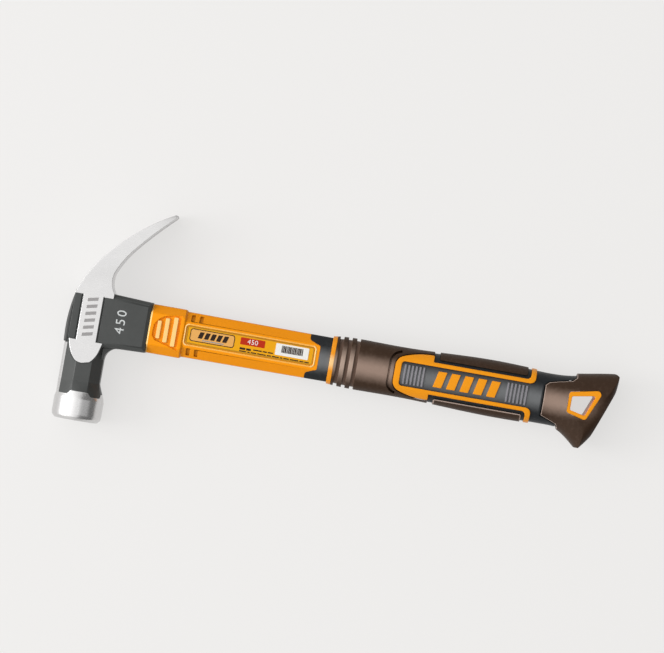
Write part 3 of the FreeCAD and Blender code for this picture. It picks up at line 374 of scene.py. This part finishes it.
WARM_GLOSS = {"Specular_Tint": (1.0, 0.72, 0.22, 1.0)}
MATERIALS = {
    "steel": make_steel(),
    "paint": make_head_paint(),
    "cap": make_plastic("cap_plastic", (0.050, 0.051, 0.050), 0.48, 0.35, 0.02),
    "resin": make_plastic("amber_resin", (0.55, 0.36, 0.10), 0.2, 2.0, 0.02),
    "fibreglass": make_plastic("fibreglass_rod", (0.62, 0.42, 0.08), 0.35, 0.4, 0.03),
    "yellow": make_plastic("sleeve_yellow", YELLOW, 0.32, 0.5, 0.01, 0.06, **WARM_GLOSS),
    "label": make_plastic("label_film", LABEL_YELLOW, 0.40, 0.8, 0.005, 0.05, **WARM_GLOSS),
    "white": make_print("sticker_paper", (0.86, 0.85, 0.82), 0.55),
    "black": make_crown_highlit("hard_black", BLACK, HIGHLIT_BLACK, 0.42, 0.3, 0.02, fade=NECK_FADE),
    # Grey painted sheen for the tops of the treads on the black panel.
    "tread": make_plastic("tread_top_sheen_grey", (0.22, 0.21, 0.23), 0.5, 0.3, 0.02, 0.2),
    # Darker orange painted shade for the sleeve's notches.
    "notch": make_plastic("notch_painted_shade", (0.60, 0.22, 0.006), 0.5, 0.4, 0.01, Specular_IOR_Level=0.15),
    # Pale yellow painted highlight for the sleeve's rib tops, the collar's front edge and the rounded
    # ends of the label rims.
    "rim": make_plastic("painted_highlight_yellow", (0.94, 0.60, 0.20), 0.34, 0.4, 0.01, 0.06),
    # A dimmer painted highlight for the long sides of the label rims.
    "rim_side": make_plastic("dimmer_painted_highlight_yellow", (0.93, 0.46, 0.07), 0.34, 0.4, 0.01, 0.06),
    # A painted shade line inside the label rims.
    "seam": make_print("seam_shade", (0.36, 0.15, 0.012), 0.5),
    # Painted shade for the grip's grooves: a plain brown without the crown's highlight, so darker than
    # the ridges beside them.
    "groove": make_plastic("groove_painted_shade", (0.125, 0.068, 0.042), 0.6, 0.28, 0.03, 0.15),
    "edge": make_plastic("brown_edge_highlight", EDGE_HIGHLIGHT_BROWN, 0.5, 0.3, 0.02, 0.15),
    "trim": make_plastic("trim_yellow_plastic", TRIM_YELLOW, 0.34, 0.5, 0.012, 0.06, **WARM_GLOSS),
    "rubber": make_crown_highlit("brown_soft_grip", BROWN, HIGHLIT_BROWN, 0.52, 0.3, 0.03),
    "pad": make_crown_highlit("brown_lower_pad", BROWN, HIGHLIT_BROWN, 0.52, 0.3, 0.03, pad=LOWER_PAD),
    "ridge": make_crown_highlit("brown_ridges_painted_highlight", BROWN, HIGHLIT_RIDGE, 0.50, 0.3, 0.03, reach=14.5),
    "ring": make_crown_highlit("ring_yellow", TRIM_YELLOW, HIGHLIT_YELLOW, 0.34, 0.5, 0.012, reach=7.0),
    "red": make_print("badge_red", (0.50, 0.028, 0.004), 0.4),
    "ink": make_print("dark_ink", (0.030, 0.016, 0.010), 0.45),
    "grey_ink": make_print("grey_ink", (0.30, 0.31, 0.32), 0.45),
    "cream": make_print("cream_film", (0.80, 0.41, 0.11), 0.4),
    "border": make_print("amber_border", (0.50, 0.24, 0.015), 0.4),
    "mark": make_print("pale_mark", (0.62, 0.64, 0.64), 0.5),
    "engraved": make_print("engraved_grey", (0.34, 0.33, 0.33), 0.5),
}


# ---------------------------------------------------------------- meshes and pieces

HARD_ANGLE = 32.0  # edges that turn by more degrees than this are rounded over
CREASE_ANGLE = 40.0  # and those that still turn by this much stay creased in the shading


def add_object(name, data):
    made = bpy.data.objects.new(name, data)
    bpy.context.scene.collection.objects.link(made)
    return made


def to_mesh(bm, name):
    """Writes a bmesh to a new mesh and frees it."""
    mesh = bpy.data.meshes.new(name)
    bm.to_mesh(mesh)
    bm.free()
    return mesh


def new_piece(name, mesh, material):
    """An object of one material that rides on the hammer's one body."""
    piece = add_object(name, mesh)
    mesh.materials.append(MATERIALS[material])
    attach(piece, "root")
    return piece


def sharp_by_angle(bm, degrees):
    for face in bm.faces:
        face.smooth = True
    for edge in bm.edges:
        if len(edge.link_faces) == 2:
            edge.smooth = edge.calc_face_angle(0.0) < math.radians(degrees)


def hard_edges(bm):
    return [edge for edge in bm.edges if edge.calc_face_angle(0.0) > math.radians(HARD_ANGLE)]


def bevel(bm, edges, reach_mm, segments):
    """Rounds the edges over by that reach and gives back the new faces."""
    made = bmesh.ops.bevel(
        bm,
        geom=edges,
        offset=reach_mm * MM,
        segments=segments,
        profile=0.5,
        affect="EDGES",
        clamp_overlap=False,
    )
    return made["faces"]


def round_apart(bm, where, reach_mm):
    """Rounds the hard edges whose middle passes the test by a reach of their own."""
    edges = []
    for edge in hard_edges(bm):
        middle = own((edge.verts[0].co + edge.verts[1].co) / 2)
        if where(middle):
            edges.append(edge)
    bevel(bm, edges, reach_mm, 4)


def round_over(bm, edge_mm, highlit_edge):
    """Rounds all hard edges over, and puts back the points that this threw off the surface.

    A rounded face whose centre passes the edge test takes the piece's second material, a painted
    highlight."""
    thrown_off = edge_mm * MM * 0.6
    surface = BVHTree.FromBMesh(bm)
    rounded = bevel(bm, hard_edges(bm), edge_mm, 2)
    for vert in bm.verts:
        nearest, _, _, away = surface.find_nearest(vert.co)
        if away > thrown_off:
            vert.co = nearest
    for face in rounded:
        if highlit_edge and highlit_edge(own(face.calc_center_median())):
            face.material_index = 1


def refined(name, node, material, edge_mm, highlit_edge=None, apart=None):
    """A copy of a CAD node with its tessellation merged and its hard edges rounded over.

    Rounded edges that pass the edge test take the pale brown of a painted highlight, and apart is a test
    and a reach for edges that are rounded by more or less than the rest."""
    bm = bmesh.new()
    bm.from_mesh(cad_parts[node].data)
    bmesh.ops.remove_doubles(bm, verts=bm.verts, dist=0.004 * MM)
    bmesh.ops.dissolve_limit(bm, angle_limit=math.radians(0.6), verts=bm.verts, edges=bm.edges)
    if apart:
        round_apart(bm, *apart)
    if edge_mm:
        round_over(bm, edge_mm, highlit_edge)
    sharp_by_angle(bm, CREASE_ANGLE)
    piece = new_piece(name, to_mesh(bm, name), material)
    if highlit_edge:
        piece.data.materials.append(MATERIALS["edge"])
    shading = piece.modifiers.new("even_shading", "WEIGHTED_NORMAL")
    shading.keep_sharp = True
    shading.weight = 80
    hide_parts(node)
    return piece


def repaint(piece, material, where, corners_too=False):
    """Gives another material to the faces that pass a test, at their centre or at every corner too.

    Every such test takes a point in the hammer's own axes and the face's normal."""
    mesh = piece.data
    mesh.materials.append(MATERIALS[material])
    for polygon in mesh.polygons:
        points = [own(polygon.center)]
        if corners_too:
            points += [own(mesh.vertices[index].co) for index in polygon.vertices]
        if all(where(point, polygon.normal) for point in points):
            polygon.material_index = len(mesh.materials) - 1


# ---------------------------------------------------------------- head, eye and core


def is_bright(centre, normal):
    """True on the claws and on the stripe's face, which are ground rather than painted."""
    cheek_end = 13.25  # the claws' steel starts above this, beside the cheek
    socket_start, socket_top = 12.65, 16.35  # and above this height where the socket is
    claws = centre.y > cheek_end and (centre.x < socket_start or centre.y > socket_top)
    stripe_right, stripe_low = 12.0, -28.5
    on_stripe = centre.x < stripe_right and centre.y > stripe_low and abs(centre.z) > STRIPE_LEVEL - 0.2
    return claws or (on_stripe and abs(normal.z) > 0.6)


def is_painted(centre, normal):
    return not is_bright(centre, normal)


def socket_end(point):
    """True of the socket's mouth, where the edges are finer than the other roundings."""
    claw_root = 20.0
    return point.x > SOCKET_END - 2.7 and point.y < claw_root


def make_head():
    head = refined("head_forging", "hammer_head", "steel", 0.35, apart=(socket_end, 0.12))
    repaint(head, "paint", is_painted)
    refined("eye_cover", "eye_cap", "cap", 0.3)
    refined("eye_epoxy", "eye_resin", "resin", 0.0)
    refined("core_rod", "fibreglass_core", "fibreglass", 0.3)


# ---------------------------------------------------------------- handle


def in_any(value, starts, width, slack=0.05):
    """True inside one of the features that start there, each widened on both sides by the slack."""
    return any(start - slack < value < start + width + slack for start in starts)


def outside_spigot(point):
    """True farther out than the spigot, where the points at the sleeve's front are the collar's."""
    return abs(point.z) > 8.9 or abs(point.y) > 12.0


def collar_front(point):
    return abs(point.x - SOCKET_END) < 0.2 and outside_spigot(point)


def on_collar_edge(centre, normal):
    return centre.x < SOCKET_END + 1.0 and normal.x < -0.15 and outside_spigot(centre)


def in_notch(centre, normal):
    across = 8.1 < abs(centre.y) < 12.6 and abs(centre.z) > 4.0
    return across and in_any(centre.x, NOTCHES, NOTCH_WIDTH, 0.1)


def on_rib(centre, normal):
    for start, reach in RIBS:
        if start < centre.x < start + RIB_WIDTH and abs(centre.y) < reach:
            return abs(centre.z) > 10.2
    return False


def in_groove(centre, normal):
    return in_any(centre.x, GROOVES, GROOVE_WIDTH)


def on_ridge(centre, normal):
    return in_any(centre.x, RIDGES, RIDGE_WIDTH, -0.05)


def on_tread(centre, normal):
    top = abs(centre.z) > 10.5 and abs(normal.z) > 0.6
    return top and -6.5 < centre.y < 5.4 and in_any(centre.x, TREADS, TREAD_WIDTH)


def neck_end(point):
    return BUTT_START - 0.5 < point.x < BUTT_START - 0.2


def butt_edge(point):
    """True along the edges of the butt that get a pale painted highlight."""
    return BUTT_START - 1.3 < point.x < BUTT_START + 20.2 and abs(point.z) > 4.0


def make_sleeve():
    sleeve = refined(
        "sleeve_moulding", "shank_sleeve", "yellow", 0.3, apart=(collar_front, 0.9)
    )
    # The notches take a darker painted shade.
    repaint(sleeve, "notch", in_notch)
    # The rib tops take a painted highlight.
    repaint(sleeve, "rim", on_rib, corners_too=True)
    # The collar's front edge takes a painted highlight.
    repaint(sleeve, "rim", on_collar_edge)
    refined("band_moulding", "shank_band", "black", 0.2)
    refined("ring_moulding", "accent_ring", "ring", 0.3)


def make_grip():
    front = refined("grip_front_skin", "grip_front", "rubber", 0.25)
    # The grooves take a painted shade.
    repaint(front, "groove", in_groove)
    # The ridges between the grooves take a paler and wider painted highlight.
    repaint(front, "ridge", on_ridge)
    refined("grip_pad_claw_skin", "grip_pad_claw_side", "rubber", 0.3)
    refined("grip_pad_face_skin", "grip_pad_face_side", "pad", 0.3)
    refined("frame_moulding", "trim_frame", "trim", 0.3)
    body = refined("grip_moulding", "grip_body", "black", 0.2, apart=(neck_end, 0.6))
    # The tread tops take a grey painted sheen.
    repaint(body, "tread", on_tread)
    refined("emblem_bars_top", "emblem_bars_front", "trim", 0.25)
    refined("emblem_bars_under", "emblem_bars_back", "trim", 0.25)


def make_butt():
    # The butt's edges take a pale painted highlight.
    refined("butt_skin", "grip_butt", "rubber", 0.3, highlit_edge=butt_edge)
    refined("hole_liner", "hang_hole_liner", "trim", 0.4)


# ---------------------------------------------------------------- labels, numbers and marks


def flat_print(name, outlines, level, material, thick=0.06):
    """Thin printed shapes lying on the level z, each outline a list of corners."""
    bm = bmesh.new()
    side = 1 if level > 0 else -1
    for outline in outlines:
        corners = [bm.verts.new(row(x, y, level)) for x, y in outline]
        face = bm.faces.new(corners)
        lifted = bmesh.ops.extrude_face_region(bm, geom=[face])
        top = [item for item in lifted["geom"] if isinstance(item, bmesh.types.BMVert)]
        bmesh.ops.translate(bm, verts=top, vec=Vector((0, 0, thick * side * MM)))
    bmesh.ops.recalc_face_normals(bm, faces=bm.faces)
    new_piece(name, to_mesh(bm, name), material)


def box_outline(left, right, low, high):
    return [(left, low), (right, low), (right, high), (left, high)]


def round_outline(left, right, low, high, radius, steps=6):
    """A rectangle with rounded corners, each an arc of that many steps."""
    points = []
    centres = [(right, high), (left, high), (left, low), (right, low)]
    for quarter, (x, y) in enumerate(centres):
        x += -radius if x == right else radius
        y += -radius if y == high else radius
        for step in range(steps + 1):
            turn = math.pi / 2 * (quarter + step / steps)
            points.append((x + radius * math.cos(turn), y + radius * math.sin(turn)))
    return points


def slanted_bars(left, low, high, count, width, step, slant):
    bars = []
    for x in repeated(left, step, count):
        bars.append([(x, low), (x + width, low), (x + width + slant, high), (x + slant, high)])
    return bars


def make_number(name, text, height, turn, x, y, level, material, spacing=1.1):
    """Plain numerals of that height, centred on a point of the front or back face."""
    thick = 0.08
    size_for_height = 1.38  # the font's size for numerals one unit high
    data = bpy.data.curves.new(name, "FONT")
    data.body = text
    data.align_x = "CENTER"
    data.align_y = "CENTER"
    data.size = height * size_for_height * MM
    data.extrude = thick / 2 * MM
    data.space_character = spacing
    letters = add_object(name, data)
    bpy.context.view_layer.update()
    mesh = bpy.data.meshes.new_from_object(letters.evaluated_get(bpy.context.evaluated_depsgraph_get()))
    bpy.data.objects.remove(letters)
    placed = Matrix.Translation(row(x, y, level)) @ Matrix.Rotation(math.radians(turn), 4, "Z")
    if level < 0:
        placed = placed @ Matrix.Rotation(math.pi, 4, "X")
    mesh.transform(placed)
    mesh.name = name
    new_piece(name, mesh, material)


def make_rim(name, outline, width, low, high, material):
    """A raised bead that runs round a closed outline, drawn at its middle."""
    bm = bmesh.new()
    side = 1 if high > 0 else -1
    shoulder = high - 0.1 * side
    section = [(-0.5, low), (-0.36, shoulder), (0.0, high), (0.36, shoulder), (0.5, low)]
    count = len(outline)
    rings = []
    for index, (x, y) in enumerate(outline):
        before = Vector(outline[index - 1])
        after = Vector(outline[(index + 1) % count])
        along = (after - before).normalized()
        out = Vector((along.y, -along.x))
        ring = [bm.verts.new(row(x + out.x * width * k, y + out.y * width * k, z)) for k, z in section]
        rings.append(ring)
    for index, ring in enumerate(rings):
        following = rings[(index + 1) % count]
        for step in range(len(section)):
            other = (step + 1) % len(section)
            bm.faces.new([ring[step], ring[other], following[other], following[step]])
    bmesh.ops.recalc_face_normals(bm, faces=bm.faces)
    sharp_by_angle(bm, 60)
    return new_piece(name, to_mesh(bm, name), material)


def bar_code(left, right, low, high):
    """Upright bars of uneven width and spacing, a made-up pattern with no meaning."""
    bars = []
    x = left
    number = 0
    while x < right - 0.5:
        width = 0.30 + 0.18 * ((number * 5) % 4)
        gap = 0.18 + 0.14 * ((number * 3) % 3)
        bars.append(box_outline(x, min(x + width, right), low, high))
        x += width + gap
        number += 1
    return bars


def text_line(left, right, y, height, seed):
    """Short blocks that stand for a line of small print."""
    blocks = []
    x = left
    number = seed
    while x < right - 1.0:
        width = 1.6 + 0.9 * ((number * 7) % 5)
        blocks.append(box_outline(x, min(x + width, right), y - height / 2, y + height / 2))
        x += width + 0.55
        number += 1
    return blocks


def on_long_side(centre, normal):
    """True of a label rim's faces between its rounded ends."""
    return 61.0 < centre.x < 134.0


def make_label_print(end, side):
    """What is printed on one label: a plate with plain bars, a badge and lines of small print."""
    level = LABEL_LEVEL * side
    plate = round_outline(61.2, 88.2, -3.2, 4.5, 1.6)
    inner = round_outline(61.7, 87.7, -2.7, 4.0, 1.2)
    flat_print(f"label_plate_edge_{end}", [plate], level, "ink", 0.02)
    flat_print(f"label_plate_{end}", [inner], level, "cream", 0.04)
    bars = slanted_bars(66.0, -0.9, 3.0, 5, 2.6, 3.7, 1.2)
    flat_print(f"label_bars_{end}", bars, level, "ink")
    flat_print(f"label_underline_{end}", [box_outline(69.0, 82.0, -2.2, -1.6)], level, "grey_ink")
    badge = round_outline(91.6, 106.4, 0.0, 4.3, 0.4, 3)
    flat_print(f"label_badge_{end}", [badge], level, "red", 0.04)
    lines = text_line(91.8, 98.6, -2.4, 1.3, 1) + text_line(100.0, 112.0, -2.1, 0.75, 2)
    lines += text_line(91.8, 134.0, -3.9, 0.65, 4)
    flat_print(f"label_small_print_{end}", lines, level, "ink", 0.03)


def make_label_frame(end, side):
    """The raised rim round one label in painted highlight colours, a painted shade line along the seam
    inside it and the label's printed border.
    """
    rim = round_outline(58.1, 137.1, -6.0, 6.4, 2.0)
    bead = make_rim(f"label_rim_{end}", rim, 1.0, 10.6 * side, 11.1 * side, "rim")
    # The long sides take a dimmer painted highlight than the rounded ends.
    repaint(bead, "rim_side", on_long_side)
    seam = round_outline(59.1, 136.1, -5.1, 5.5, 1.5)
    # A painted shade line along the seam inside the rim.
    make_rim(f"label_seam_{end}", seam, 0.5, 10.15 * side, 10.3 * side, "seam")
    border = round_outline(59.5, 135.7, -4.7, 5.3, 1.1)
    make_rim(f"label_border_{end}", border, 0.9, 10.42 * side, 10.62 * side, "border")


def make_numbers(end, side):
    """The plain number on one label's badge and on the painted cheek of the same side."""
    badge_level = (LABEL_LEVEL + 0.05) * side
    make_number(f"badge_number_{end}", "450", 2.9, 0, 99.0, 2.15, badge_level, "white")
    cheek_level = CHEEK_LEVEL * side
    make_number(f"cheek_number_{end}", "450", 5.8, 90, 19.4, 0.6, cheek_level, "mark", 1.3)


def make_labels():
    """Paints the CAD's own labels and sticker, which keep their meshes, and prints on them."""
    for node, material in (
        ("sleeve_label_front", "label"),
        ("sleeve_label_back", "label"),
        ("barcode_sticker", "white"),
    ):
        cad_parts[node].material_slots[0].material = MATERIALS[material]
    for end, side in (("front", 1), ("back", -1)):
        make_label_print(end, side)
        make_label_frame(end, side)
        make_numbers(end, side)
    flat_print("sticker_bars", bar_code(116.6, 129.8, -0.7, 3.5), STICKER_LEVEL, "ink", 0.03)


def make_stripe_marks():
    """Six plain slanting marks on the polished stripe of each cheek."""
    left, right = -2.4, 3.9
    marks = []
    for y in repeated(-11.6, 4.2, 6):
        marks.append([(left, y), (right, y + 1.4), (right, y + 3.4), (left, y + 2.0)])
    flat_print("stripe_marks_front", marks, STRIPE_LEVEL, "engraved", 0.03)
    flat_print("stripe_marks_back", marks, -STRIPE_LEVEL, "engraved", 0.03)


make_head()
make_sleeve()
make_grip()
make_butt()
make_labels()
make_stripe_marks()


# ---------------------------------------------------------------- stage, lights and camera


def make_floor():
    """A wide pale sheet just under the hammer, which looks the same to the camera and in the steel."""
    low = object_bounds()[0]
    size = 6.0
    drop = 0.0002
    mesh = bpy.data.meshes.new("floor")
    corners = [(-size, -size), (size, -size), (size, size), (-size, size)]
    mesh.from_pydata([(x, y, low[2] - drop) for x, y in corners], [], [(0, 1, 2, 3)])
    floor = add_object("floor", mesh)
    surface = Surface("floor_paper", (0.80, 0.79, 0.78), 0.9, Specular_IOR_Level=0.0)
    rays = surface.node("ShaderNodeLightPath")
    seen = surface.math("MAXIMUM", rays.outputs["Is Camera Ray"], rays.outputs["Is Glossy Ray"])
    seen = surface.math("MAXIMUM", seen, rays.outputs["Is Transmission Ray"])
    surface.colour(surface.blend(seen, (0.22, 0.21, 0.20), (0.20, 0.198, 0.195)))
    surface.link((0.84, 0.83, 0.82), surface.shader.inputs["Emission Color"])
    surface.link(surface.math("MULTIPLY", seen, 0.78), surface.shader.inputs["Emission Strength"])
    mesh.materials.append(surface.material)


def make_lamp(name, place, target, width, depth, radiance):
    """Rectangular soft light of an even radiance, aimed at a target."""
    data = bpy.data.lights.new(name, "AREA")
    data.shape = "RECTANGLE"
    data.size = width
    data.size_y = depth
    data.energy = radiance * math.pi * width * depth
    lamp = add_object(name, data)
    lamp.location = place
    lamp.rotation_euler = (Vector(target) - Vector(place)).to_track_quat("-Z", "Y").to_euler()
    lamp.visible_camera = False


def make_world(left, right, seen_by_camera):
    """Soft surround, bright to the left of the head and dim to the right; the camera sees it pale."""
    world = bpy.data.worlds.new("studio")
    world.use_nodes = True
    tree = world.node_tree
    background = tree.nodes["Background"]
    place = tree.nodes.new("ShaderNodeTexCoord")
    parts = tree.nodes.new("ShaderNodeSeparateXYZ")
    tree.links.new(place.outputs["Generated"], parts.inputs[0])
    across = tree.nodes.new("ShaderNodeMapRange")
    across.interpolation_type = "SMOOTHSTEP"
    tree.links.new(parts.outputs["X"], across.inputs["Value"])
    across.inputs["From Min"].default_value = -0.7
    across.inputs["From Max"].default_value = 0.55
    across.inputs["To Min"].default_value = left
    across.inputs["To Max"].default_value = right
    rays = tree.nodes.new("ShaderNodeLightPath")
    seen = tree.nodes.new("ShaderNodeMix")
    tree.links.new(rays.outputs["Is Camera Ray"], seen.inputs["Factor"])
    tree.links.new(across.outputs["Result"], seen.inputs["A"])
    seen.inputs["B"].default_value = seen_by_camera
    tree.links.new(seen.outputs["Result"], background.inputs["Strength"])
    background.inputs["Color"].default_value = (1.0, 0.995, 0.985, 1.0)
    bpy.context.scene.world = world


def make_camera():
    """Looks straight down on the flat hammer, turned so that the handle slopes ten degrees."""
    distance = 2.4
    view_width = 398.4 * MM
    slope = 10.0
    data = bpy.data.cameras.new("camera")
    data.sensor_fit = "HORIZONTAL"
    data.angle = 2 * math.atan(view_width / 2 / distance)
    data.clip_end = 20.0
    camera = add_object("camera", data)
    camera.location = row(143.9, 19.9) + Vector((0, 0, distance))
    camera.rotation_euler = (0.0, 0.0, math.radians(slope))
    bpy.context.scene.camera = camera


make_floor()
make_world(1.25, 0.20, 0.84)
make_lamp("overhead", row(-300, 0, 1100), row(0, 0), 1.4, 1.2, 0.47)
make_lamp("right_fill", row(640, 0, 1100), row(100, 0), 0.5, 1.2, 0.40)
make_lamp("key", row(-1500, -100, 900), row(120, 0), 0.9, 0.8, 7.0)
make_camera()
bpy.context.scene.view_settings.view_transform = "Standard"

bpy.context.view_layer.update()
